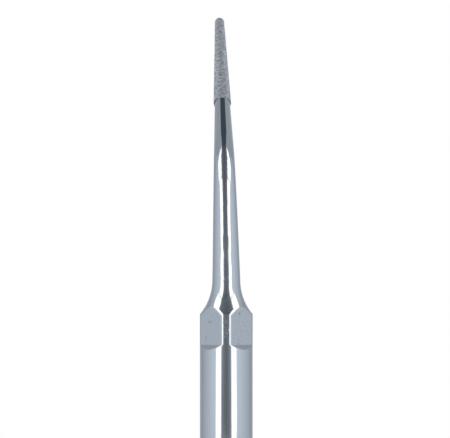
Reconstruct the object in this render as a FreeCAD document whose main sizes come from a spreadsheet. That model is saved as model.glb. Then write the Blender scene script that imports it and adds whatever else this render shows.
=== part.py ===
# Ultrasonic scaler tip for root canal work: one turned, ground and bent steel shank with a diamond coat.
# Origin at the middle of the seat, on the screw axis. +Z runs up the shank and the point leans to +Y.
import FreeCAD, Part
import math
import os
import Sketcher

# Millimetres and degrees. Tilts are from the screw axis, and the bends' radii are of the centre line.
DRIVING_SIZES = {
    "base_diameter": 5.0,
    "base_length": 14.0,
    "seat_chamfer": 0.25,
    "flare_height": 3.2,
    "neck_diameter": 2.65,
    "flat_count": 4,
    "flat_depth": 0.45,
    "flat_length": 2.88,
    "runout_slope": 45.0,
    "polish_radius": 0.45,
    "bore_diameter": 3.0,
    "bore_depth": 6.5,
    "bore_mouth_diameter": 3.4,
    "bore_mouth_angle": 90.0,
    "drill_point_angle": 118.0,
    "root_tilt": 6.5,
    "root_radius": 6.0,
    "neck_tilt": 12.6,
    "neck_radius": 25.0,
    "point_tilt": 57.0,
    "bend_radius": 6.86,
    "side_lean": 0.95,
    "side_turn": 0.65,
    "neck_foot_diameter": 2.61,
    "bend_start_diameter": 2.14,
    "bend_end_diameter": 1.82,
    "coat_edge_diameter": 1.5,
    "point_end_diameter": 0.72,
    "bare_point_length": 6.75,
    "coated_length": 15.65,
    "coat_thickness": 0.125,
    "coat_edge_height": 0.12,
}

doc = FreeCAD.newDocument("scaler_tip")
sheet = doc.addObject("Spreadsheet::Sheet", "Sizes")
for row, (alias, value) in enumerate(DRIVING_SIZES.items(), start=1):
    sheet.set("A%d" % row, alias.replace("_", " "))
    sheet.set("B%d" % row, str(value))
    sheet.setAlias("B%d" % row, alias)
doc.recompute()


def size(alias):
    """The value of one cell."""
    return float(sheet.get(alias))


def sine(alias):
    return math.sin(math.radians(size(alias)))


def cosine(alias):
    return math.cos(math.radians(size(alias)))


def plane(body, role):
    """One of the body's own origin planes."""
    for feature in body.Origin.OriginFeatures:
        if feature.Role == role:
            return feature
    raise RuntimeError("the body has no " + role)


def new_body(label):
    body = doc.addObject("PartDesign::Body", label)
    body.Label = label
    return body


def new_sketch(body, name, role, offset=None):
    """A sketch on an origin plane, which an expression may move from there."""
    sketch = body.newObject("Sketcher::SketchObject", name)
    sketch.AttachmentSupport = [(plane(body, role), "")]
    sketch.MapMode = "FlatFace"
    if offset:
        sketch.setExpression("AttachmentOffset", offset)
    return sketch


def point(x, y):
    return FreeCAD.Vector(x, y, 0)


def line(sketch, start, end):
    return sketch.addGeometry(Part.LineSegment(point(*start), point(*end)))


def arc(sketch, centre, radius, start, end):
    """A counter-clockwise arc between two angles in degrees."""
    circle = Part.Circle(point(*centre), FreeCAD.Vector(0, 0, 1), radius)
    return sketch.addGeometry(Part.ArcOfCircle(circle, math.radians(start), math.radians(end)))


def rule(sketch, kind, *targets):
    """A constraint with no size."""
    return sketch.addConstraint(Sketcher.Constraint(kind, *targets))


def dimension(sketch, name, expression, kind, *targets):
    """A named constraint whose size follows the sheet, in millimetres, or in degrees for an angle."""
    first_value = float(sketch.evalExpression(expression))
    if kind == "Angle":
        first_value = math.radians(first_value)
    index = sketch.addConstraint(Sketcher.Constraint(kind, *targets, first_value))
    sketch.renameConstraint(index, name)
    sketch.setExpression("Constraints." + name, expression)


START, END, CENTRE = 1, 2, 3
ROOT = (-1, 1)

# Where the shank's bent centre line starts: straight up the screw axis, from the top of the flare.
FLARE_TOP = "(Sizes.base_length + Sizes.flare_height)"

# The plane that the shank is bent in leans a little to -X and is turned a little about the screw axis.
FOOT_X = "(sin(Sizes.root_tilt) * sin(Sizes.side_turn)" \
    " - cos(Sizes.root_tilt) * cos(Sizes.side_turn) * sin(Sizes.side_lean))"
FOOT_Y = "(-sin(Sizes.root_tilt) * cos(Sizes.side_turn)" \
    " - cos(Sizes.root_tilt) * sin(Sizes.side_turn) * sin(Sizes.side_lean))"
FOOT_Z = "(cos(Sizes.root_tilt) * cos(Sizes.side_lean))"
ROOT_TURN = "acos(%s)" % FOOT_Z
ROOT_HEADING = "atan2(%s; %s)" % (FOOT_Y, FOOT_X)
ROOT_OUT = "(Sizes.root_radius * (1 - %s))" % FOOT_Z
ROOT_UP = "(Sizes.root_radius * sin(%s))" % ROOT_TURN
NECK_X = "(%s * cos(%s))" % (ROOT_OUT, ROOT_HEADING)
NECK_Y = "(%s * sin(%s))" % (ROOT_OUT, ROOT_HEADING)
NECK_Z = "(%s + %s)" % (FLARE_TOP, ROOT_UP)

# Distances in that plane, out along its away direction and up it, from the foot of the neck.
NECK_OUT = "(Sizes.neck_radius * (cos(Sizes.root_tilt) - cos(Sizes.neck_tilt)))"
NECK_UP = "(Sizes.neck_radius * (sin(Sizes.root_tilt) + sin(Sizes.neck_tilt)))"
BEND_OUT = "(Sizes.bend_radius * (cos(Sizes.neck_tilt) - cos(Sizes.point_tilt)))"
BEND_UP = "(Sizes.bend_radius * (sin(Sizes.point_tilt) - sin(Sizes.neck_tilt)))"


def in_bend_plane(out, up, tilt):
    """Moves a sketch on YZ_Plane into the bend plane, with its upright axis tilted away from the screw."""
    turns = "rotation(vector(0; 1; 0); Sizes.side_turn) * rotation(vector(1; 0; 0); -Sizes.side_lean)"
    origin = "vector(%s; %s; %s)" % (NECK_Y, NECK_Z, NECK_X)
    foot = "placement(%s; %s)" % (origin, turns)
    return "%s * placement(vector(%s; %s; 0); rotation(vector(0; 0; 1); -(%s)))" % (foot, out, up, tilt)


def across_the_shank(out, up, tilt):
    """Moves a sketch on XY_Plane to a station of the centre line, square to it."""
    turns = "rotation(vector(0; 0; 1); Sizes.side_turn) * rotation(vector(0; 1; 0); -Sizes.side_lean)"
    foot = "placement(vector(%s; %s; %s); %s)" % (NECK_X, NECK_Y, NECK_Z, turns)
    return "%s * placement(vector(0; %s; %s); rotation(vector(1; 0; 0); -(%s)))" % (foot, out, up, tilt)


def section(body, name, diameter, offset):
    """A round section of the shank."""
    sketch = new_sketch(body, name, "XY_Plane", offset)
    circle = Part.Circle(point(0, 0), FreeCAD.Vector(0, 0, 1), size(diameter) / 2)
    ring = sketch.addGeometry(circle)
    rule(sketch, "Coincident", ring, CENTRE, *ROOT)
    dimension(sketch, "width", "Sizes." + diameter, "Diameter", ring)
    return sketch


def turned_base(body):
    """The base cylinder, its seat chamfer and the concave flare up to the neck, turned in one cut."""
    sketch = new_sketch(body, "turned_profile", "XZ_Plane")
    wide, narrow = size("base_diameter") / 2, size("neck_diameter") / 2
    shoulder, chamfer = size("base_length"), size("seat_chamfer")
    top = shoulder + size("flare_height")
    step = wide - narrow
    radius = (step ** 2 + size("flare_height") ** 2) / (2 * step)
    lowest = 180 + math.degrees(math.asin(size("flare_height") / radius))

    seat = line(sketch, (0, 0), (wide - chamfer, 0))
    corner = line(sketch, (wide - chamfer, 0), (wide, chamfer))
    side = line(sketch, (wide, chamfer), (wide, shoulder))
    flare = arc(sketch, (narrow + radius, top), radius, 180, lowest)
    crown = line(sketch, (narrow, top), (0, top))
    axis = line(sketch, (0, top), (0, 0))

    rule(sketch, "Coincident", seat, START, *ROOT)
    rule(sketch, "Coincident", seat, END, corner, START)
    rule(sketch, "Coincident", corner, END, side, START)
    rule(sketch, "Coincident", side, END, flare, END)
    rule(sketch, "Coincident", flare, START, crown, START)
    rule(sketch, "Coincident", crown, END, axis, START)
    rule(sketch, "Coincident", axis, END, seat, START)
    rule(sketch, "Horizontal", seat)
    rule(sketch, "Vertical", side)
    rule(sketch, "Horizontal", crown)
    rule(sketch, "Vertical", axis)
    rule(sketch, "Horizontal", flare, START, flare, CENTRE)
    dimension(sketch, "base_radius", "Sizes.base_diameter / 2", "DistanceX", *ROOT, side, START)
    dimension(sketch, "neck_radius", "Sizes.neck_diameter / 2", "DistanceX", *ROOT, flare, START)
    dimension(sketch, "shoulder", "Sizes.base_length", "DistanceY", *ROOT, side, END)
    dimension(sketch, "top", FLARE_TOP, "DistanceY", *ROOT, axis, START)
    dimension(sketch, "chamfer_in", "Sizes.seat_chamfer", "DistanceX", corner, START, corner, END)
    dimension(sketch, "chamfer_up", "Sizes.seat_chamfer", "DistanceY", corner, START, corner, END)

    turned = body.newObject("PartDesign::Revolution", "turned_base")
    turned.Profile = sketch
    turned.ReferenceAxis = (sketch, ["V_Axis"])
    turned.Angle = 360
    doc.recompute()
    return turned


def wrench_flats(body):
    """Flats ground across the top of the base, each ending in a sloped run-out below and open above."""
    reach = size("base_diameter")
    half = reach / 2 - size("flat_depth")
    low = size("base_length") - size("flat_length")
    high = size("base_length") + size("flare_height")
    drop = (reach - half) / math.tan(math.radians(size("runout_slope")))
    heading = "placement(vector(0; 0; 0); rotation(vector(0; 1; 0); 180 / Sizes.flat_count))"
    sketch = new_sketch(body, "flat_profile", "XZ_Plane", heading)

    face = line(sketch, (half, low), (half, high))
    roof = line(sketch, (half, high), (reach, high))
    outside = line(sketch, (reach, high), (reach, low - drop))
    runout = line(sketch, (reach, low - drop), (half, low))
    for first, second in ((face, roof), (roof, outside), (outside, runout), (runout, face)):
        rule(sketch, "Coincident", first, END, second, START)
    rule(sketch, "Vertical", face)
    rule(sketch, "Horizontal", roof)
    rule(sketch, "Vertical", outside)
    dimension(sketch, "depth", "Sizes.base_diameter / 2 - Sizes.flat_depth",
              "DistanceX", *ROOT, face, START)
    dimension(sketch, "reach", "Sizes.base_diameter", "DistanceX", *ROOT, outside, START)
    dimension(sketch, "low", "Sizes.base_length - Sizes.flat_length", "DistanceY", *ROOT, face, START)
    dimension(sketch, "high", FLARE_TOP, "DistanceY", *ROOT, face, END)
    dimension(sketch, "runout_drop",
              "(Sizes.base_diameter / 2 + Sizes.flat_depth) / tan(Sizes.runout_slope)",
              "DistanceY", runout, START, runout, END)

    before = body.Shape.Volume
    cut = body.newObject("PartDesign::Pocket", "first_flat")
    cut.Profile = sketch
    cut.Type = "Length"
    cut.setExpression("Length", "2 * Sizes.base_diameter")
    cut.Midplane = True
    doc.recompute()
    flats = body.newObject("PartDesign::PolarPattern", "wrench_flats")
    flats.Originals = [cut]
    flats.Axis = (plane(body, "Z_Axis"), [""])
    flats.Angle = 360
    flats.setExpression("Occurrences", "Sizes.flat_count")
    body.Tip = flats
    doc.recompute()
    if not body.Shape.Volume < before:
        raise RuntimeError("the wrench flats cut nothing")
    return flats


def polished_corners(body, flats):
    """Rounds the upright and the arched edges that the flats leave, as polishing does."""
    half, count = size("base_diameter") / 2 - size("flat_depth"), int(size("flat_count"))
    low = size("base_length") - size("flat_length")
    headings = [math.pi * (2 * number + 1) / count for number in range(count)]
    edges = []
    for number, edge in enumerate(flats.Shape.Edges, start=1):
        middle = edge.valueAt((edge.FirstParameter + edge.LastParameter) / 2)
        places = [middle] + [vertex.Point for vertex in edge.Vertexes]
        reaches = [max(place.x * math.cos(heading) + place.y * math.sin(heading) for heading in headings)
                   for place in places]
        if middle.z > low + 0.01 and all(abs(reach - half) < 1e-6 for reach in reaches):
            edges.append("Edge%d" % number)
    if len(edges) != 3 * count:
        raise RuntimeError("each flat has two upright edges and an arched one, and %d were found" % len(edges))
    rounded = body.newObject("PartDesign::Fillet", "polished_corners")
    rounded.Base = (flats, edges)
    rounded.setExpression("Radius", "Sizes.polish_radius")
    doc.recompute()
    return rounded


def screw_hole(body):
    """The blind hole for the handpiece's stud, countersunk at its mouth, at the thread's major diameter."""
    sketch = new_sketch(body, "bore_centre", "XY_Plane")
    ring = sketch.addGeometry(Part.Circle(point(0, 0), FreeCAD.Vector(0, 0, 1), size("bore_diameter") / 2))
    rule(sketch, "Coincident", ring, CENTRE, *ROOT)
    dimension(sketch, "bore", "Sizes.bore_diameter", "Diameter", ring)
    before = body.Shape.Volume
    hole = body.newObject("PartDesign::Hole", "screw_hole")
    hole.Profile = sketch
    hole.Reversed = True
    hole.Threaded = False
    hole.DepthType = "Dimension"
    hole.DrillPoint = "Angled"
    hole.HoleCutType = "Countersink"
    hole.HoleCutCustomValues = True
    hole.setExpression("Diameter", "Sizes.bore_diameter")
    hole.setExpression("Depth", "Sizes.bore_depth")
    hole.setExpression("DrillPointAngle", "Sizes.drill_point_angle")
    hole.setExpression("HoleCutDiameter", "Sizes.bore_mouth_diameter")
    hole.setExpression("HoleCutCountersinkAngle", "Sizes.bore_mouth_angle")
    doc.recompute()
    if not body.Shape.Volume < before:
        raise RuntimeError("the screw hole cuts nothing")
    return hole


def swept(body, name, spine, sections):
    """A round bar that tapers from section to section along a spine."""
    bar = body.newObject("PartDesign::AdditivePipe", name)
    bar.Profile = sections[0]
    bar.Spine = (spine, [])
    bar.Transformation = "Multisection"
    bar.Sections = [(other, [""]) for other in sections[1:]]
    doc.recompute()
    return bar


def root_of_neck(body):
    """The short bend that brings the neck off the screw axis, a little to the front and to -X."""
    offset = "placement(vector(0; %s; 0); rotation(vector(0; 1; 0); %s))" % (FLARE_TOP, ROOT_HEADING)
    spine = new_sketch(body, "root_line", "XZ_Plane", offset)
    radius = size("root_radius")
    turn = math.degrees(math.acos(cosine("root_tilt") * cosine("side_lean")))
    bend = arc(spine, (radius, 0), radius, 180 - turn, 180)
    rule(spine, "Coincident", bend, END, *ROOT)
    rule(spine, "Horizontal", bend, CENTRE, *ROOT)
    dimension(spine, "radius", "Sizes.root_radius", "Radius", bend)
    dimension(spine, "up", ROOT_UP, "DistanceY", *ROOT, bend, START)
    top_of_flare = "placement(vector(0; 0; %s); rotation(vector(0; 0; 1); 0))" % FLARE_TOP
    bottom = section(body, "neck_root", "neck_diameter", top_of_flare)
    top = section(body, "root_end", "neck_foot_diameter", across_the_shank("0", "0", "-Sizes.root_tilt"))
    return swept(body, "root_of_neck", spine, [bottom, top])


def bent_shank(body):
    """The tapered neck in its gentle bend, and the tight bend that throws the point back over."""
    spine = new_sketch(body, "shank_line", "YZ_Plane", in_bend_plane("0", "0", "0"))
    gentle, tight = size("neck_radius"), size("bend_radius")
    centre = (gentle * cosine("root_tilt"), gentle * sine("root_tilt"))
    meeting = (gentle * (cosine("root_tilt") - cosine("neck_tilt")),
               gentle * (sine("root_tilt") + sine("neck_tilt")))
    second = (meeting[0] + tight * cosine("neck_tilt"), meeting[1] - tight * sine("neck_tilt"))
    neck = arc(spine, centre, gentle, 180 - size("neck_tilt"), 180 + size("root_tilt"))
    bend = arc(spine, second, tight, 180 - size("point_tilt"), 180 - size("neck_tilt"))
    rule(spine, "Coincident", neck, END, *ROOT)
    rule(spine, "Coincident", neck, START, bend, END)
    dimension(spine, "neck_radius", "Sizes.neck_radius", "Radius", neck)
    dimension(spine, "bend_radius", "Sizes.bend_radius", "Radius", bend)
    dimension(spine, "neck_centre", "Sizes.neck_radius * sin(Sizes.root_tilt)",
              "DistanceY", *ROOT, neck, CENTRE)
    dimension(spine, "neck_up", NECK_UP, "DistanceY", *ROOT, neck, START)
    dimension(spine, "bend_centre", "Sizes.bend_radius * sin(Sizes.neck_tilt)",
              "DistanceY", bend, CENTRE, bend, END)
    dimension(spine, "bend_up", BEND_UP, "DistanceY", bend, END, bend, START)
    sections = [
        section(body, "neck_foot", "neck_foot_diameter", across_the_shank("0", "0", "-Sizes.root_tilt")),
        section(body, "bend_start", "bend_start_diameter",
                across_the_shank(NECK_OUT, NECK_UP, "Sizes.neck_tilt")),
        section(body, "bend_end", "bend_end_diameter",
                across_the_shank(NECK_OUT + " + " + BEND_OUT, NECK_UP + " + " + BEND_UP,
                                 "Sizes.point_tilt")),
    ]
    return swept(body, "bent_shank", spine, sections)


def point_sketch(body, name, along):
    """A sketch whose upright axis is the straight point's, with its origin some way along it."""
    out = "%s + %s + (%s) * sin(Sizes.point_tilt)" % (NECK_OUT, BEND_OUT, along)
    up = "%s + %s + (%s) * cos(Sizes.point_tilt)" % (NECK_UP, BEND_UP, along)
    return new_sketch(body, name, "YZ_Plane", in_bend_plane(out, up, "Sizes.point_tilt"))


def dome(sketch, taper, end_radius, height):
    """The round end of a cone: an arc tangent to it, from the cone to the axis."""
    radius = end_radius / math.cos(taper)
    centre = (0, height - end_radius * math.tan(taper))
    cap = arc(sketch, centre, radius, math.degrees(taper), 90)
    rule(sketch, "Vertical", cap, CENTRE, *ROOT)
    rule(sketch, "Vertical", cap, END, *ROOT)
    return cap


def straight_point(body):
    """The straight point: a bare cone, a finer cone under the coat, and a round end."""
    sketch = point_sketch(body, "point_profile", "0")
    bare, coated = size("bare_point_length"), size("coated_length")
    root, edge, tip = (size(name) / 2 for name in ("bend_end_diameter", "coat_edge_diameter",
                                                   "point_end_diameter"))
    taper = math.atan((edge - tip) / coated)
    foot = line(sketch, (0, 0), (root, 0))
    cone = line(sketch, (root, 0), (edge, bare))
    fine = line(sketch, (edge, bare), (tip, bare + coated))
    cap = dome(sketch, taper, tip, bare + coated)
    crest = tip / math.cos(taper) - tip * math.tan(taper)
    axis = line(sketch, (0, bare + coated + crest), (0, 0))
    rule(sketch, "Coincident", foot, START, *ROOT)
    rule(sketch, "Coincident", foot, END, cone, START)
    rule(sketch, "Coincident", cone, END, fine, START)
    rule(sketch, "Tangent", fine, END, cap, START)
    rule(sketch, "Coincident", cap, END, axis, START)
    rule(sketch, "Coincident", axis, END, *ROOT)
    rule(sketch, "Horizontal", foot)
    dimension(sketch, "foot_radius", "Sizes.bend_end_diameter / 2", "DistanceX", *ROOT, cone, START)
    dimension(sketch, "edge_radius", "Sizes.coat_edge_diameter / 2", "DistanceX", *ROOT, fine, START)
    dimension(sketch, "end_radius", "Sizes.point_end_diameter / 2", "DistanceX", *ROOT, fine, END)
    dimension(sketch, "bare", "Sizes.bare_point_length", "DistanceY", *ROOT, fine, START)
    dimension(sketch, "coated", "Sizes.coated_length", "DistanceY", fine, START, fine, END)
    turned = body.newObject("PartDesign::Revolution", "straight_point")
    turned.Profile = sketch
    turned.ReferenceAxis = (sketch, ["V_Axis"])
    turned.Angle = 360
    doc.recompute()
    return turned


def coating(body):
    """The plated diamond layer: a sleeve of even thickness on the fine cone, closed over its round end."""
    sketch = point_sketch(body, "coat_profile", "Sizes.bare_point_length")
    length, thick, rise = size("coated_length"), size("coat_thickness"), size("coat_edge_height")
    edge, tip = size("coat_edge_diameter") / 2, size("point_end_diameter") / 2
    taper = math.atan((edge - tip) / length)
    inner_line = line(sketch, (edge, 0), (tip, length))
    inner_cap = dome(sketch, taper, tip, length)
    outer_tip = tip + thick * math.cos(taper)
    outer_height = length + thick * math.sin(taper)
    slope = (edge - tip) / length
    outer_edge = outer_tip + (outer_height - rise) * slope
    outer_line = line(sketch, (outer_edge, rise), (outer_tip, outer_height))
    outer_cap = dome(sketch, taper, outer_tip, outer_height)
    inner_crest = length - tip * math.tan(taper) + tip / math.cos(taper)
    wall = line(sketch, (0, inner_crest + thick), (0, inner_crest))
    lip = line(sketch, (edge, 0), (outer_edge, rise))
    rule(sketch, "Tangent", inner_line, END, inner_cap, START)
    rule(sketch, "Tangent", outer_line, END, outer_cap, START)
    rule(sketch, "Horizontal", outer_cap, CENTRE, inner_cap, CENTRE)
    rule(sketch, "Parallel", inner_line, outer_line)
    rule(sketch, "Coincident", wall, START, outer_cap, END)
    rule(sketch, "Coincident", wall, END, inner_cap, END)
    rule(sketch, "Coincident", lip, START, inner_line, START)
    rule(sketch, "Coincident", lip, END, outer_line, START)
    rule(sketch, "Horizontal", inner_line, START, *ROOT)
    dimension(sketch, "edge_radius", "Sizes.coat_edge_diameter / 2", "DistanceX", *ROOT, inner_line, START)
    dimension(sketch, "end_radius", "Sizes.point_end_diameter / 2", "DistanceX", *ROOT, inner_line, END)
    dimension(sketch, "length", "Sizes.coated_length", "DistanceY", *ROOT, inner_line, END)
    dimension(sketch, "thickness", "Sizes.coat_thickness", "DistanceY", wall, END, wall, START)
    dimension(sketch, "lip_height", "Sizes.coat_edge_height", "DistanceY", *ROOT, lip, END)
    turned = body.newObject("PartDesign::Revolution", "coating")
    turned.Profile = sketch
    turned.ReferenceAxis = (sketch, ["V_Axis"])
    turned.Angle = 360
    doc.recompute()
    return turned


tip_body = new_body("tip_body")
turned_base(tip_body)
polished_corners(tip_body, wrench_flats(tip_body))
screw_hole(tip_body)
root_of_neck(tip_body)
bent_shank(tip_body)
straight_point(tip_body)

diamond_coating = new_body("diamond_coating")
coating(diamond_coating)

doc.recompute()
for item in doc.Objects:
    if "Invalid" in item.State or "Error" in item.State:
        raise RuntimeError("%s failed: %s" % (item.Name, item.State))

os.makedirs("parts", exist_ok=True)
for body in (tip_body, diamond_coating):
    shape = body.Shape
    if shape.isNull() or not shape.isValid() or len(shape.Solids) != 1:
        raise RuntimeError(body.Label + " isn't one valid solid")
    shape.exportStep("parts/%s.step" % body.Label)
    box = shape.BoundBox
    print(body.Label, "volume %.2f" % shape.Volume, "box", [round(v, 3) for v in (
        box.XMin, box.XMax, box.YMin, box.YMax, box.ZMin, box.ZMax)], "faces", len(shape.Faces))
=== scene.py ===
"""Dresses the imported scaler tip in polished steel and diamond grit, and lights it in a tent."""

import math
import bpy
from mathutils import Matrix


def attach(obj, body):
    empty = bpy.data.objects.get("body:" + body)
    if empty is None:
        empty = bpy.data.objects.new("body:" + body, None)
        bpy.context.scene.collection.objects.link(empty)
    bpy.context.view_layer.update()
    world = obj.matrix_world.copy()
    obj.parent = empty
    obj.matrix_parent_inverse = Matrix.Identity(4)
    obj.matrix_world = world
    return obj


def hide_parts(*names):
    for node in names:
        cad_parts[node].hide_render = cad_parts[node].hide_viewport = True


bl_info = {
    "name": "Ultrasonic Scaler Tip",
    "version": (1, 0, 0),
    "blender": (4, 5, 0),
    "location": "3D View > Sidebar > Scaler Tip",
    "description": "Finishes an ultrasonic scaler tip and sets up its studio",
    "category": "Object",
}

import bpy
import numpy as np
from mathutils import Vector, noise

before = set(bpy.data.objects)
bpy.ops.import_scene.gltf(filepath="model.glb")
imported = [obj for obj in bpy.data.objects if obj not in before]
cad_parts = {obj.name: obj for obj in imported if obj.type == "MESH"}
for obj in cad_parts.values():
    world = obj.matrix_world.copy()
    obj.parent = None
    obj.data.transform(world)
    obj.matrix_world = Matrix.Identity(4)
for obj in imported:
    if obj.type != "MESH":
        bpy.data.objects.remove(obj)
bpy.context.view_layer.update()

MM = 0.001

# Where the body's finish changes: heights above its seat, and the reach of the drilled hole.
FLATS_MIDDLE, FLATS_REACH = 13.2 * MM, 2.05 * MM
SPOTS_START, SPOTS_FULL = 10.8 * MM, 12.2 * MM
SPOTS_THIN_OUT, SPOTS_END = 15.5 * MM, 18.0 * MM
DENTS_THIN_OUT, DENTS_SHALLOW = 13.9 * MM, 15.0 * MM
BORED_RADIUS, BORED_HEIGHT = 1.75 * MM, 8 * MM

# The product of a normal's X and Y, without its sign. It is 0 straight in front and 0.5 on a flat.
FLATS_START, FLATS_FULL = 0.485, 0.497
STRIP_EDGE, STRIP_MIDDLE = 0.15, 0.1

# The scene's pieces reach this far into the steel, so that no gap shows.
BURIED = 0.02 * MM

# The floor lies this far under the seat, so that their faces don't meet.
FLOOR_GAP = 0.01 * MM

# The Mix node's sockets have the same names for every kind of data: these are the ones for colours.
FACTOR, FIRST_COLOUR, SECOND_COLOUR, MIXED_COLOUR = 0, 6, 7, 2


def linear(hex_colour):
    """An sRGB hex colour as the linear red, green, blue and alpha that a shader takes."""
    shares = [int(hex_colour[at:at + 2], 16) / 255 for at in (1, 3, 5)]
    return [share / 12.92 if share <= 0.04045 else ((share + 0.055) / 1.055) ** 2.4
            for share in shares] + [1.0]


def add_node(tree, kind, inputs=None, **settings):
    """Adds a node with its settings, and sets each input or links it to another node's output."""
    node = tree.nodes.new(kind)
    for name, value in settings.items():
        setattr(node, name, value)
    for name, value in (inputs or {}).items():
        if isinstance(value, bpy.types.NodeSocket):
            tree.links.new(value, node.inputs[name])
        else:
            node.inputs[name].default_value = value
    return node


def new_finish(name):
    """An empty material and its node tree."""
    finish = bpy.data.materials.new(name)
    finish.use_nodes = True
    finish.node_tree.nodes.clear()
    return finish, finish.node_tree


def new_piece(name, points, faces, finish):
    """A mesh object in metres, with smooth faces and one material."""
    mesh = bpy.data.meshes.new(name)
    mesh.from_pydata([tuple(p) for p in points], [], [tuple(f) for f in faces])
    mesh.polygons.foreach_set("use_smooth", [True] * len(mesh.polygons))
    mesh.update()
    mesh.materials.append(finish)
    piece = bpy.data.objects.new(name, mesh)
    bpy.context.scene.collection.objects.link(piece)
    return piece


def grid_faces(rows, columns, closed):
    """Quads between the rows of a grid of points, closed round each row or open."""
    wraps = columns if closed else columns - 1
    return [(r * columns + c, r * columns + (c + 1) % columns,
             (r + 1) * columns + (c + 1) % columns, (r + 1) * columns + c)
            for r in range(rows - 1) for c in range(wraps)]


def round_steps(steps):
    """The cosine and the sine of each of so many equal steps round a circle."""
    turns = [2 * math.pi * step / steps for step in range(steps)]
    return [(math.cos(turn), math.sin(turn)) for turn in turns]


class SteelSettings(bpy.types.PropertyGroup):
    colour: bpy.props.FloatVectorProperty(
        name="Steel", description="Colour of the polished steel", subtype="COLOR", size=4,
        min=0, max=1, default=linear("#C9D1DA"))
    roughness: bpy.props.FloatProperty(
        name="Roughness", description="Roughness left by the last polishing mop", subtype="FACTOR",
        min=0, max=1, default=0.11)
    ground_roughness: bpy.props.FloatProperty(
        name="Ground roughness", description="Roughness of the ground wrench flats",
        subtype="FACTOR", min=0, max=1, default=0.24)
    spot_roughness: bpy.props.FloatProperty(
        name="Spot roughness", description="How much rougher the matt spots are", subtype="FACTOR",
        min=0, max=1, default=0.14)
    bored_roughness: bpy.props.FloatProperty(
        name="Bored roughness", description="How much rougher the drilled hole is",
        subtype="FACTOR", min=0, max=1, default=0.3)
    ground_colour: bpy.props.FloatVectorProperty(
        name="Ground steel", description="Colour in the deepest grinding marks and pits",
        subtype="COLOR", size=4, min=0, max=1, default=linear("#8E949B"))
    streak_width: bpy.props.FloatProperty(
        name="Streak width", description="Spacing of the polishing streaks along the shank",
        subtype="DISTANCE", default=0.12 * MM)
    grind_width: bpy.props.FloatProperty(
        name="Grinding width", description="Spacing of the grinding marks on the wrench flats",
        subtype="DISTANCE", default=0.16 * MM)
    pit_spacing: bpy.props.FloatProperty(
        name="Pit spacing", description="Distance between the pits in the wrench flats",
        subtype="DISTANCE", default=1.0 * MM)
    spot_width: bpy.props.FloatProperty(
        name="Spot width", description="Spacing of the matt spots round the shoulder",
        subtype="DISTANCE", default=0.26 * MM)
    edge_radius: bpy.props.FloatProperty(
        name="Edge radius", description="How far polishing softens the edges", subtype="DISTANCE",
        default=0.14 * MM)
    ripple_depth: bpy.props.FloatProperty(
        name="Ripple depth", description="Depth of the polishing streaks", subtype="DISTANCE",
        default=0.006 * MM)
    dent_depth: bpy.props.FloatProperty(
        name="Dent depth", description="Depth of the dents under the matt spots",
        subtype="DISTANCE", default=0.0075 * MM)
    grind_depth: bpy.props.FloatProperty(
        name="Grinding depth", description="Depth of the grinding marks on the wrench flats",
        subtype="DISTANCE", default=0.004 * MM)


class CoatSettings(bpy.types.PropertyGroup):
    # Nickel is the colour in the hollows and Diamond the colour on the grains' tops: besides their
    # own colours, the dark hollows are painted shade and the pale tops painted highlight.
    nickel: bpy.props.FloatVectorProperty(
        name="Nickel", description="Colour of the plated nickel between the grains",
        subtype="COLOR", size=4, min=0, max=1, default=linear("#8F9BAA"))
    grain: bpy.props.FloatVectorProperty(
        name="Diamond", description="Colour of the grains' worn tops", subtype="COLOR", size=4,
        min=0, max=1, default=linear("#F3F9FF"))
    # The colour of the painted shade laid on the coat's sloped lip at its lower edge.
    painted_lip_shade: bpy.props.FloatVectorProperty(
        name="Residue", description="Colour of the residue at the coat's lower edge",
        subtype="COLOR", size=4, min=0, max=1, default=linear("#5A6067"))
    grain_width: bpy.props.FloatProperty(
        name="Grain width", description="Width of one diamond grain", subtype="DISTANCE",
        default=0.16 * MM)
    patch_width: bpy.props.FloatProperty(
        name="Patch width", description="Spacing of the patches where grains lie close or worn",
        subtype="DISTANCE", default=0.24 * MM)
    grain_depth: bpy.props.FloatProperty(
        name="Grain depth", description="How deep the hollows between the grains are",
        subtype="DISTANCE", default=0.05 * MM)
    edge: bpy.props.FloatVectorProperty(
        name="Edge", description="Middle of the coat's lower edge", subtype="TRANSLATION",
        default=(-0.3769 * MM, 9.0183 * MM, 34.1009 * MM))
    crest: bpy.props.FloatVectorProperty(
        name="Crest", description="The coat's far end", subtype="TRANSLATION",
        default=(-0.6759 * MM, 22.5403 * MM, 42.8827 * MM))
    edge_diameter: bpy.props.FloatProperty(
        name="Edge diameter", description="Diameter of the coat above its lip", subtype="DISTANCE",
        default=1.744 * MM)
    end_diameter: bpy.props.FloatProperty(
        name="End diameter", description="Diameter where the coat's round end starts",
        subtype="DISTANCE", default=0.97 * MM)
    steel_diameter: bpy.props.FloatProperty(
        name="Steel diameter", description="Diameter of the steel at the coat's edge",
        subtype="DISTANCE", default=1.5 * MM)
    lip_height: bpy.props.FloatProperty(
        name="Lip height", description="Length of the coat's sloped lip", subtype="DISTANCE",
        default=0.12 * MM)


class ThreadSettings(bpy.types.PropertyGroup):
    pitch: bpy.props.FloatProperty(
        name="Pitch", description="Distance between two turns of the thread", subtype="DISTANCE",
        default=0.5 * MM)
    bore_diameter: bpy.props.FloatProperty(
        name="Bore diameter", description="Diameter of the screw hole's wall", subtype="DISTANCE",
        default=3.0 * MM)
    crest_diameter: bpy.props.FloatProperty(
        name="Crest diameter", description="Diameter between the thread's crests",
        subtype="DISTANCE", default=2.46 * MM)
    start: bpy.props.FloatProperty(
        name="Start", description="Height where the thread starts above the seat",
        subtype="DISTANCE", default=0.35 * MM)
    end: bpy.props.FloatProperty(
        name="End", description="Height where the thread ends above the seat", subtype="DISTANCE",
        default=5.9 * MM)


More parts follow.
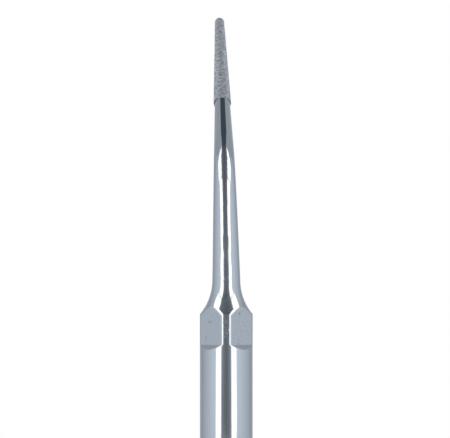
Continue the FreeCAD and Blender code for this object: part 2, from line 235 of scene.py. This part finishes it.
class StudioSettings(bpy.types.PropertyGroup):
    camera_distance: bpy.props.FloatProperty(
        name="Camera distance", description="From the lens to the screw axis", subtype="DISTANCE",
        default=0.4)
    camera_height: bpy.props.FloatProperty(
        name="Camera height", description="Height of the lens above the floor", subtype="DISTANCE",
        default=22.987 * MM)
    camera_aside: bpy.props.FloatProperty(
        name="Camera aside", description="How far the lens stands to the right of the screw axis",
        subtype="DISTANCE", default=-0.123 * MM)
    frame_width: bpy.props.FloatProperty(
        name="Frame width", description="Width of the picture at the screw axis",
        subtype="DISTANCE", default=42.57 * MM)
    tent_radius: bpy.props.FloatProperty(
        name="Tent radius", description="Radius of the light tent's arch", subtype="DISTANCE",
        default=0.3)
    floor_radius: bpy.props.FloatProperty(
        name="Floor radius", description="Radius of the round floor", subtype="DISTANCE",
        default=0.034)
    floor_opening: bpy.props.FloatProperty(
        name="Floor opening", description="Diameter of the opening under the seat",
        subtype="DISTANCE", default=4.4 * MM)
    fill: bpy.props.FloatVectorProperty(
        name="Fill", description="Colour of the soft light that reaches matt surfaces",
        subtype="COLOR", size=4, min=0, max=1, default=linear("#BCBCBC"))
    backdrop: bpy.props.FloatVectorProperty(
        name="Backdrop", description="Colour behind the tip", subtype="COLOR", size=4, min=0,
        max=1, default=linear("#FFFFFF"))


def polished_stainless_steel(settings):
    """Martensitic stainless steel, turned, ground on the flats and mirror polished on a mop.

    The mop leaves a bright mirror with faint streaks along the shank and softened edges. The ground
    flats keep a fine speckle and a few pits, and round them the mop leaves small matt spots.

    A picture pixel is 0.09 mm. The mop's streaks are about 0.01 mm apart, the wheel's marks 0.02 mm
    and the matt spots 0.05 to 0.2 mm. All three are drawn as coarse as they need to be to show.
    """
    finish, tree = new_finish("polished_stainless_steel")
    place = add_node(tree, "ShaderNodeTexCoord")
    height = add_node(tree, "ShaderNodeSeparateXYZ", {"Vector": place.outputs["Object"]})

    # A streak is 40 times as long as it is wide.
    across, along = 1 / settings.streak_width, 1 / (40 * settings.streak_width)
    streak_place = add_node(tree, "ShaderNodeVectorMath", {
        0: place.outputs["Object"], 1: (across, across, along)}, operation="MULTIPLY")
    streaks = add_node(tree, "ShaderNodeTexNoise", {
        "Vector": streak_place.outputs["Vector"], "Scale": 1.0, "Detail": 3.0, "Roughness": 0.6})
    grind = add_node(tree, "ShaderNodeTexNoise", {
        "Vector": place.outputs["Object"], "Scale": 1 / settings.grind_width, "Detail": 4.0,
        "Roughness": 0.65})

    # The flats face 45 degrees off both axes, between the round part of the base and the shank.
    surface = add_node(tree, "ShaderNodeNewGeometry")
    normal = add_node(tree, "ShaderNodeSeparateXYZ", {"Vector": surface.outputs["Normal"]})
    turned = add_node(tree, "ShaderNodeMath", {
        0: normal.outputs["X"], 1: normal.outputs["Y"]}, operation="MULTIPLY")
    turned = add_node(tree, "ShaderNodeMath", {0: turned.outputs["Value"]}, operation="ABSOLUTE")
    facing = add_node(tree, "ShaderNodeMapRange", {
        "Value": turned.outputs["Value"], "From Min": FLATS_START, "From Max": FLATS_FULL})
    level = add_node(tree, "ShaderNodeMath", {
        0: height.outputs["Z"], 1: FLATS_MIDDLE, 2: FLATS_REACH}, operation="COMPARE")
    flats = add_node(tree, "ShaderNodeMath", {
        0: facing.outputs["Result"], 1: level.outputs["Value"]}, operation="MULTIPLY")

    # Matt spots between the flats and on the shoulder above them, which are polished by hand, with
    # dents under them that are shallow on the shoulder.
    spots = add_node(tree, "ShaderNodeTexNoise", {
        "Vector": place.outputs["Object"], "Scale": 1 / settings.spot_width, "Detail": 2.0,
        "Roughness": 0.7})
    spots = add_node(tree, "ShaderNodeMapRange", {
        "Value": spots.outputs["Fac"], "From Min": 0.42, "From Max": 0.6})
    strip = add_node(tree, "ShaderNodeMapRange", {
        "Value": height.outputs["Z"], "From Min": SPOTS_START, "From Max": SPOTS_FULL})
    spots = add_node(tree, "ShaderNodeMath", {
        0: spots.outputs["Result"], 1: strip.outputs["Result"]}, operation="MULTIPLY")
    middle = add_node(tree, "ShaderNodeMapRange", {
        "Value": turned.outputs["Value"], "From Min": STRIP_EDGE, "From Max": STRIP_MIDDLE})
    spots = add_node(tree, "ShaderNodeMath", {
        0: spots.outputs["Value"], 1: middle.outputs["Result"]}, operation="MULTIPLY")
    matt = add_node(tree, "ShaderNodeMapRange", {
        "Value": spots.outputs["Value"], "From Min": 0.4, "To Max": settings.spot_roughness})
    shoulder = add_node(tree, "ShaderNodeMapRange", {
        "Value": height.outputs["Z"], "From Min": SPOTS_END, "From Max": SPOTS_THIN_OUT})
    matt = add_node(tree, "ShaderNodeMath", {
        0: matt.outputs["Result"], 1: shoulder.outputs["Result"]}, operation="MULTIPLY")
    deep = add_node(tree, "ShaderNodeMapRange", {
        "Value": height.outputs["Z"], "From Min": DENTS_SHALLOW, "From Max": DENTS_THIN_OUT,
        "To Min": 0.2})
    dented = add_node(tree, "ShaderNodeMath", {
        0: spots.outputs["Value"], 1: deep.outputs["Result"]}, operation="MULTIPLY")

    # The drilled hole and its thread aren't polished.
    outward = add_node(tree, "ShaderNodeVectorMath", {
        0: place.outputs["Object"], 1: (1, 1, 0)}, operation="MULTIPLY")
    outward = add_node(tree, "ShaderNodeVectorMath", {
        0: outward.outputs["Vector"]}, operation="LENGTH")
    inner = add_node(tree, "ShaderNodeMath", {
        0: outward.outputs["Value"], 1: BORED_RADIUS}, operation="LESS_THAN")
    low = add_node(tree, "ShaderNodeMath", {
        0: height.outputs["Z"], 1: BORED_HEIGHT}, operation="LESS_THAN")
    bored = add_node(tree, "ShaderNodeMath", {
        0: inner.outputs["Value"], 1: low.outputs["Value"]}, operation="MULTIPLY")
    bored = add_node(tree, "ShaderNodeMath", {
        0: bored.outputs["Value"], 1: settings.bored_roughness}, operation="MULTIPLY")

    ground = add_node(tree, "ShaderNodeMapRange", {
        "Value": flats.outputs["Value"], "To Min": settings.roughness,
        "To Max": settings.ground_roughness})
    uneven = add_node(tree, "ShaderNodeMapRange", {
        "Value": streaks.outputs["Fac"], "From Min": 0.3, "From Max": 0.7, "To Min": -0.03,
        "To Max": 0.03})
    roughness = add_node(tree, "ShaderNodeMath", {
        0: ground.outputs["Result"], 1: uneven.outputs["Result"]}, operation="ADD")
    roughness = add_node(tree, "ShaderNodeMath", {
        0: roughness.outputs["Value"], 1: matt.outputs["Value"]}, operation="ADD")
    roughness = add_node(tree, "ShaderNodeMath", {
        0: roughness.outputs["Value"], 1: bored.outputs["Value"]}, operation="ADD")

    # The marks and pits of the flats are darker than the mirror round them.
    speckle = add_node(tree, "ShaderNodeMapRange", {
        "Value": grind.outputs["Fac"], "From Min": 0.28, "From Max": 0.46, "To Min": 0.5,
        "To Max": 0.93})
    pits = add_node(tree, "ShaderNodeTexVoronoi", {
        "Vector": place.outputs["Object"], "Scale": 1 / settings.pit_spacing}, feature="F1")
    pits = add_node(tree, "ShaderNodeMapRange", {
        "Value": pits.outputs["Distance"], "From Min": 0.05, "From Max": 0.2, "To Min": -0.55,
        "To Max": 0.0})
    speckle = add_node(tree, "ShaderNodeMath", {
        0: speckle.outputs["Result"], 1: pits.outputs["Result"]}, operation="ADD")
    bright = add_node(tree, "ShaderNodeMix", {
        "Factor": flats.outputs["Value"], "A": 1.0, "B": speckle.outputs["Value"]},
        data_type="FLOAT")
    colour = add_node(tree, "ShaderNodeMix", {
        FACTOR: bright.outputs["Result"], FIRST_COLOUR: tuple(settings.ground_colour),
        SECOND_COLOUR: tuple(settings.colour)}, data_type="RGBA")

    softened = add_node(tree, "ShaderNodeBevel", {"Radius": settings.edge_radius}, samples=8)
    ripple = add_node(tree, "ShaderNodeBump", {
        "Height": streaks.outputs["Fac"], "Strength": 0.15, "Distance": settings.ripple_depth,
        "Normal": softened.outputs["Normal"]})
    dents = add_node(tree, "ShaderNodeBump", {
        "Height": dented.outputs["Value"], "Strength": 1.0, "Distance": settings.dent_depth,
        "Normal": ripple.outputs["Normal"]})
    grinding = add_node(tree, "ShaderNodeBump", {
        "Height": grind.outputs["Fac"], "Strength": flats.outputs["Value"],
        "Distance": settings.grind_depth, "Normal": dents.outputs["Normal"]})
    shader = add_node(tree, "ShaderNodeBsdfPrincipled", {
        "Base Color": colour.outputs[MIXED_COLOUR], "Metallic": 1.0,
        "Roughness": roughness.outputs["Value"], "Normal": grinding.outputs["Normal"]})
    add_node(tree, "ShaderNodeOutputMaterial", {"Surface": shader.outputs["BSDF"]})
    return finish


def plated_diamond_grit(settings):
    """Synthetic diamond grains held in electroplated nickel.

    The nickel is a mottled grey satin. Its sloped lip at the lower edge is painted darker as
    painted shade, most on the flanks to the left and right. The grains' tops are painted pale as
    painted highlights in fine specks, and the hollows between them are painted darker as painted
    shade, over the diamond's and the nickel's own colours. Real grains are 0.06 to 0.13 mm wide.
    They are drawn 0.16 mm wide, so that they show, and their facets in the bump at a third of that.
    """
    finish, tree = new_finish("plated_diamond_grit")
    place = add_node(tree, "ShaderNodeTexCoord")
    tops = add_node(tree, "ShaderNodeAttribute", attribute_name="grain_height")
    rim = add_node(tree, "ShaderNodeAttribute", attribute_name="rim")
    patches = add_node(tree, "ShaderNodeTexNoise", {
        "Vector": place.outputs["Object"], "Scale": 1 / settings.patch_width, "Detail": 2.0,
        "Roughness": 0.6})
    fine = add_node(tree, "ShaderNodeTexNoise", {
        "Vector": place.outputs["Object"], "Scale": 3 / settings.grain_width, "Detail": 2.0})
    patchy = add_node(tree, "ShaderNodeMapRange", {
        "Value": patches.outputs["Fac"], "From Min": 0.34, "From Max": 0.66, "To Max": 0.72})
    # By the grain's height: pale tops as painted highlight and dark hollows as painted shade, over
    # the diamond's and the nickel's own colours.
    uneven = add_node(tree, "ShaderNodeMath", {
        0: tops.outputs["Fac"], 1: 0.25, 2: patchy.outputs["Result"]}, operation="MULTIPLY_ADD",
        use_clamp=True)
    colour = add_node(tree, "ShaderNodeMix", {
        FACTOR: uneven.outputs["Value"], FIRST_COLOUR: tuple(settings.nickel),
        SECOND_COLOUR: tuple(settings.grain)}, data_type="RGBA")
    # Painted shade on the lip, darkest on the flanks to the left and right, from the rim attribute.
    colour = add_node(tree, "ShaderNodeMix", {
        FACTOR: rim.outputs["Fac"], FIRST_COLOUR: colour.outputs[MIXED_COLOUR],
        SECOND_COLOUR: tuple(settings.painted_lip_shade)}, data_type="RGBA")
    roughness = add_node(tree, "ShaderNodeMapRange", {
        "Value": uneven.outputs["Value"], "To Min": 0.68, "To Max": 0.45})
    grain = add_node(tree, "ShaderNodeBump", {
        "Height": fine.outputs["Fac"], "Strength": 0.5, "Distance": 0.008 * MM})
    shader = add_node(tree, "ShaderNodeBsdfPrincipled", {
        "Base Color": colour.outputs[MIXED_COLOUR], "Metallic": 0.85,
        "Roughness": roughness.outputs["Result"], "Normal": grain.outputs["Normal"]})
    add_node(tree, "ShaderNodeOutputMaterial", {"Surface": shader.outputs["BSDF"]})
    return finish


def coat_radius(settings, up):
    """Radius of the coat at a distance up its axis from the lower edge, all in metres."""
    length = (Vector(settings.crest) - Vector(settings.edge)).length
    wide, narrow, lip = settings.edge_diameter / 2, settings.end_diameter / 2, settings.lip_height
    shoulder = length - narrow
    if up < lip:
        share = up / lip
        return settings.steel_diameter / 2 * (1 - share) + wide * share
    if up < shoulder:
        return wide + (narrow - wide) * (up - lip) / (shoulder - lip)
    return math.sqrt(max(0.0, narrow ** 2 - (up - shoulder) ** 2))


class SCALERTIP_OT_polish_body(bpy.types.Operator):
    """Polish the steel body"""
    bl_idname = "scalertip.polish_body"
    bl_label = "Polish the body"

    def execute(self, context):
        steel = polished_stainless_steel(context.scene.scaler_steel)
        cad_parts["tip_body"].material_slots[0].material = steel
        return {"FINISHED"}


class SCALERTIP_OT_cut_thread(bpy.types.Operator):
    """Cut the thread in the screw hole"""
    bl_idname = "scalertip.cut_thread"
    bl_label = "Cut the thread"

    def execute(self, context):
        settings = context.scene.scaler_thread
        pitch, crest = settings.pitch, settings.crest_diameter / 2
        wall = settings.bore_diameter / 2 + BURIED
        turns = (settings.end - settings.start) / pitch
        steps_a_turn = 72
        points = []
        for step in range(int(turns * steps_a_turn) + 1):
            turn = step / steps_a_turn
            # The ridge rises over a third of a turn at each end of the thread.
            grown = max(0.05, min(1.0, 3 * turn, 3 * (turns - turn)))
            ridge = wall + (crest - wall) * grown
            # An ISO ridge leaves an eighth of the pitch bare at the wall, and its crest is a
            # quarter of the pitch wide.
            for radius, off in ((wall, -7 / 16), (ridge, -1 / 8), (ridge, 1 / 8), (wall, 7 / 16)):
                points.append((radius * math.cos(2 * math.pi * turn),
                               radius * math.sin(2 * math.pi * turn),
                               settings.start + pitch * (turn + off)))
        rows = len(points) // 4
        faces = grid_faces(rows, 4, closed=True)
        faces += [(3, 2, 1, 0), tuple(range(4 * rows - 4, 4 * rows))]
        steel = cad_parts["tip_body"].active_material
        thread = new_piece("screw_thread", points, faces, steel)
        thread.data.set_sharp_from_angle(angle=math.radians(25))
        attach(thread, "root")
        return {"FINISHED"}


class SCALERTIP_OT_plate_point(bpy.types.Operator):
    """Plate the point with diamond grit"""
    bl_idname = "scalertip.plate_point"
    bl_label = "Plate the point"

    def execute(self, context):
        settings = context.scene.scaler_coat
        edge, crest = Vector(settings.edge), Vector(settings.crest)
        axis = (crest - edge).normalized()
        aside = axis.orthogonal().normalized()
        over = axis.cross(aside)
        length = (crest - edge).length
        sides, rings, end_rings = 168, 470, 16
        narrow = settings.end_diameter / 2
        shoulder = length - narrow
        stations = [shoulder * ring / rings for ring in range(rings + 1)]
        stations += [shoulder + narrow * math.sin(math.pi / 2 * ring / end_rings)
                     for ring in range(1, end_rings)]
        outs = [aside * cosine + over * sine for cosine, sine in round_steps(sides)]
        points = [edge + out * (settings.steel_diameter / 2 - BURIED) for out in outs]
        heights, lip_shade_levels = [0.0] * sides, [1.0] * sides
        for up in stations:
            for out in outs:
                radius = coat_radius(settings, up)
                here = edge + axis * up + out * radius
                # A grain has a flat top, and falls off where the next grain comes as near. On the
                # round end a hollow is at most 0.4 of the radius deep.
                near = noise.voronoi(here / settings.grain_width, distance_metric="CHEBYCHEV")[0]
                top = min(1.0, 1.6 * (near[1] - near[0]))
                sink = settings.grain_depth * (1 - top) * min(1.0, up / settings.lip_height)
                points.append(here - out * min(sink, radius * 0.4))
                # This height also sets the painted highlight on the tops and the painted shade in
                # the hollows.
                heights.append(top)
                # Painted shade covers the lip, and is darker on the point's flanks to the left and
                # right.
                painted_lip_shade = 0.35 + 0.65 * abs(out.x)
                lip_shade_levels.append(painted_lip_shade * min(1.0, max(0.0, 1.35 - up / settings.lip_height)))
        rows = len(stations) + 1
        faces = grid_faces(rows, sides, closed=True)
        points.append(edge + axis * (length - settings.grain_depth * 0.5))
        heights.append(0.5)
        lip_shade_levels.append(0.0)
        last = (rows - 1) * sides
        faces += [(last + s, last + (s + 1) % sides, len(points) - 1) for s in range(sides)]
        coat = new_piece("diamond_grit_coat", points, faces, plated_diamond_grit(settings))
        for name, values in (("grain_height", heights), ("rim", lip_shade_levels)):
            coat.data.attributes.new(name, "FLOAT", "POINT").data.foreach_set("value", values)
        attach(coat, "root")
        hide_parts("diamond_coating")
        return {"FINISHED"}


# The tent from straight ahead of the tip (0 degrees) up over it (90) to behind it (180). Each line
# gives the angle, how far aside the dark slit's edge and the lamps' outer edge lie, as shares of
# the way to the side, and how bright the slit's middle, its edges, the lamps and the cloth beyond
# them are. 1 is white. At 40.5 to 43 degrees a seam crosses the lamps, and shows as a thin line.
TENT_STATIONS = (
    (-30.0, 0.385, 0.74, 0.19, 0.26, 2.00, 0.84),
    (-9.0, 0.385, 0.74, 0.19, 0.26, 2.00, 0.84),
    (-5.5, 0.380, 0.70, 0.19, 0.30, 2.00, 0.84),
    (-4.0, 0.365, 0.67, 0.20, 0.43, 2.00, 0.84),
    (-1.5, 0.365, 0.67, 0.20, 0.43, 2.00, 0.84),
    (0.0, 0.405, 0.71, 0.20, 0.33, 2.00, 0.84),
    (2.0, 0.430, 0.73, 0.20, 0.28, 2.00, 0.84),
    (4.0, 0.420, 0.73, 0.20, 0.27, 2.00, 0.84),
    (8.0, 0.370, 0.73, 0.19, 0.25, 2.00, 0.84),
    (20.0, 0.370, 0.73, 0.18, 0.24, 2.00, 0.81),
    (30.0, 0.405, 0.75, 0.16, 0.22, 2.00, 0.81),
    (40.0, 0.435, 0.78, 0.15, 0.20, 2.00, 0.81),
    (40.5, 0.440, 0.78, 0.15, 0.20, 0.50, 0.81),
    (43.0, 0.460, 0.80, 0.15, 0.21, 0.50, 0.81),
    (43.5, 0.475, 0.84, 0.15, 0.24, 2.00, 0.80),
    (75.0, 0.460, 0.85, 0.14, 0.23, 2.00, 0.76),
    (88.5, 0.330, 0.81, 0.12, 0.14, 2.00, 0.58),
    (90.5, 0.278, 0.79, 0.09, 0.10, 0.46, 0.60),
    (130.0, 0.278, 0.79, 0.09, 0.09, 0.46, 0.58),
    (146.0, 0.278, 0.79, 0.09, 0.09, 0.43, 0.52),
    (150.0, 0.180, 0.79, 1.00, 1.00, 0.48, 0.48),
    (210.0, 0.180, 0.79, 1.00, 1.00, 0.50, 0.50),
)

# How far aside the arch reaches, in the same shares. A flat cloth closes it there.
TENT_REACH = 0.86

# The flat cloths, left and right: which way, how bright ahead of the tip, and how bright behind it.
SIDE_CLOTHS = ((-1, 0.85, 0.53), (1, 0.86, 0.56))

# The colour of the tent's light at each brightness: cold in the slit, warm in the lamps.
TENT_TINTS = ((0.09, "#DDF8FF"), (0.14, "#F3F8FE"), (0.90, "#F3F8FE"), (1.50, "#FFF7EE"))


def tinted(brightness):
    """Red, green, blue and alpha of the tent's light."""
    levels = [level for level, hex_colour in TENT_TINTS]
    colours = [linear(hex_colour) for level, hex_colour in TENT_TINTS]
    tint = [float(np.interp(brightness, levels, channel)) for channel in list(zip(*colours))[:3]]
    return [brightness * share for share in tint] + [1.0]


def tent_glow(turn, aside):
    """How bright the tent is, at an angle over the arch and a share of the way to the side."""
    angles, *columns = zip(*TENT_STATIONS)
    slit, lamp_edge, middle, edge, lamps, cloth = (
        float(np.interp(turn, angles, column)) for column in columns)
    if abs(aside) < slit:
        # The slit is darkest in its middle and level near its edges.
        share = min(1.0, (abs(aside) / slit) ** 1.5 * 1.6)
        return middle + (edge - middle) * share
    return lamps if abs(aside) < lamp_edge else cloth


class SCALERTIP_OT_build_studio(bpy.types.Operator):
    """Build the floor, the light tent, the backdrop and the camera"""
    bl_idname = "scalertip.build_studio"
    bl_label = "Build the studio"

    def execute(self, context):
        settings = context.scene.scaler_studio
        self.lay_floor(settings)
        self.hang_tent(settings)
        self.light_backdrop(context.scene, settings)
        self.place_camera(context.scene, settings)
        context.scene.view_settings.view_transform = "Standard"
        return {"FINISHED"}

    def lay_floor(self, settings):
        """A round floor of cast acrylic sheet, whose rim fades into the backdrop.

        Its face is sanded, which makes it an even matt white. It is clear from below and open under
        the seat, so the screw hole can be seen.
        """
        finish, tree = new_finish("matt_white_acrylic")
        place = add_node(tree, "ShaderNodeTexCoord")
        away = add_node(tree, "ShaderNodeVectorMath", {
            0: place.outputs["Object"]}, operation="LENGTH")
        fade = add_node(tree, "ShaderNodeMapRange", {
            "Value": away.outputs["Value"], "From Min": 0.3 * settings.floor_radius,
            "From Max": 0.9 * settings.floor_radius, "To Min": 0.45},
            interpolation_type="SMOOTHSTEP")
        path = add_node(tree, "ShaderNodeLightPath")
        faded = add_node(tree, "ShaderNodeMath", {
            0: path.outputs["Is Camera Ray"], 1: fade.outputs["Result"]}, operation="MULTIPLY")
        acrylic = add_node(tree, "ShaderNodeBsdfPrincipled", {
            "Base Color": linear("#F4F4F4"), "Roughness": 0.7})
        white = add_node(tree, "ShaderNodeEmission", {"Color": tuple(settings.backdrop)})
        face = add_node(tree, "ShaderNodeMixShader", {
            0: faded.outputs["Value"], 1: acrylic.outputs["BSDF"], 2: white.outputs["Emission"]})
        side = add_node(tree, "ShaderNodeNewGeometry")
        clear = add_node(tree, "ShaderNodeBsdfTransparent")
        sheet = add_node(tree, "ShaderNodeMixShader", {
            0: side.outputs["Backfacing"], 1: face.outputs["Shader"], 2: clear.outputs["BSDF"]})
        add_node(tree, "ShaderNodeOutputMaterial", {"Surface": sheet.outputs["Shader"]})
        rings, sides = 12, 96
        radii = np.linspace(settings.floor_radius, settings.floor_opening / 2, rings)
        points = [(radius * cosine, radius * sine, 0)
                  for radius in radii for cosine, sine in round_steps(sides)]
        floor = new_piece("floor", points, grid_faces(rings, sides, closed=True), finish)
        floor.location.z = -FLOOR_GAP

    def hang_tent(self, settings):
        """An arch of cloth from ahead of the tip to behind it, with a flat cloth at each side.

        It is woven polyester lit from outside, which gives an even glow with no weave to see.
        """
        finish, tree = new_finish("lit_tent_cloth")
        glow = add_node(tree, "ShaderNodeAttribute", attribute_name="glow")
        cloth = add_node(tree, "ShaderNodeEmission", {"Color": glow.outputs["Color"]})
        add_node(tree, "ShaderNodeOutputMaterial", {"Surface": cloth.outputs["Emission"]})
        radius, height = settings.tent_radius, settings.camera_height
        # From one point to the next it is half a degree, or a hundredth of the way aside.
        step = 0.5
        turns = np.arange(TENT_STATIONS[0][0], TENT_STATIONS[-1][0] + step, step)
        asides = np.linspace(-TENT_REACH, TENT_REACH, 173)
        points, lit = [], []
        for turn in turns:
            for aside in asides:
                points.append((radius * aside / math.sqrt(1 - aside ** 2),
                               -radius * math.cos(math.radians(turn)),
                               height + radius * math.sin(math.radians(turn))))
                lit += tinted(tent_glow(turn, aside))
        faces = grid_faces(len(turns), len(asides), closed=False)
        wall = radius * math.tan(math.asin(TENT_REACH))
        rings, spokes = 10, 96
        for side, front, back in SIDE_CLOTHS:
            first = len(points)
            for ring in range(rings, 0, -1):
                out = radius * ring / rings
                for cosine, sine in round_steps(spokes):
                    points.append((side * wall, -out * cosine, height + out * sine))
                    share = (1 - out / radius * cosine) / 2
                    lit += tinted(front * (1 - share) + back * share)
            faces += [tuple(first + corner for corner in face)
                      for face in grid_faces(rings, spokes, closed=True)]
            faces.append(tuple(first + (rings - 1) * spokes + spoke for spoke in range(spokes)))
        tent = new_piece("light_tent", points, faces, finish)
        tent.data.attributes.new("glow", "FLOAT_COLOR", "POINT").data.foreach_set("color", lit)
        tent.visible_camera = False
        tent.visible_shadow = False

    def light_backdrop(self, scene, settings):
        """White for the camera and for what the steel mirrors, and soft light for matt surfaces."""
        world = bpy.data.worlds.new("studio")
        scene.world = world
        world.use_nodes = True
        tree = world.node_tree
        tree.nodes.clear()
        path = add_node(tree, "ShaderNodeLightPath")
        seen = add_node(tree, "ShaderNodeMath", {
            0: path.outputs["Is Camera Ray"], 1: path.outputs["Is Glossy Ray"]},
            operation="MAXIMUM")
        fill = add_node(tree, "ShaderNodeBackground", {"Color": tuple(settings.fill)})
        white = add_node(tree, "ShaderNodeBackground", {"Color": tuple(settings.backdrop)})
        light = add_node(tree, "ShaderNodeMixShader", {
            0: seen.outputs["Value"], 1: fill.outputs["Background"],
            2: white.outputs["Background"]})
        add_node(tree, "ShaderNodeOutputWorld", {"Surface": light.outputs["Shader"]})

    def place_camera(self, scene, settings):
        """A long lens, level with the middle of the picture."""
        lens = bpy.data.cameras.new("camera")
        lens.sensor_width = 36  # mm, as the focal length is
        lens.lens = lens.sensor_width * settings.camera_distance / settings.frame_width
        lens.clip_start, lens.clip_end = 0.01, 10
        camera = bpy.data.objects.new("camera", lens)
        camera.location = (settings.camera_aside, -settings.camera_distance,
                           settings.camera_height)
        camera.rotation_euler = (math.pi / 2, 0, 0)
        scene.collection.objects.link(camera)
        scene.camera = camera


class SCALERTIP_PT_sidebar(bpy.types.Panel):
    """One button for each step"""
    bl_label = "Scaler Tip"
    bl_idname = "SCALERTIP_PT_sidebar"
    bl_space_type = "VIEW_3D"
    bl_region_type = "UI"
    bl_category = "Scaler Tip"

    def draw(self, context):
        for operator in OPERATORS:
            self.layout.operator(operator.bl_idname)


SETTINGS = {"scaler_steel": SteelSettings, "scaler_coat": CoatSettings,
            "scaler_thread": ThreadSettings, "scaler_studio": StudioSettings}
OPERATORS = (SCALERTIP_OT_polish_body, SCALERTIP_OT_cut_thread, SCALERTIP_OT_plate_point,
             SCALERTIP_OT_build_studio)


def register():
    for kind in (*SETTINGS.values(), *OPERATORS, SCALERTIP_PT_sidebar):
        bpy.utils.register_class(kind)
    for name, kind in SETTINGS.items():
        setattr(bpy.types.Scene, name, bpy.props.PointerProperty(type=kind))


def unregister():
    for name in SETTINGS:
        delattr(bpy.types.Scene, name)
    for kind in reversed((*SETTINGS.values(), *OPERATORS, SCALERTIP_PT_sidebar)):
        bpy.utils.unregister_class(kind)


def main():
    register()
    bpy.ops.scalertip.polish_body()
    bpy.ops.scalertip.cut_thread()
    bpy.ops.scalertip.plate_point()
    bpy.ops.scalertip.build_studio()
    bpy.context.view_layer.update()


if __name__ == "__main__":
    main()
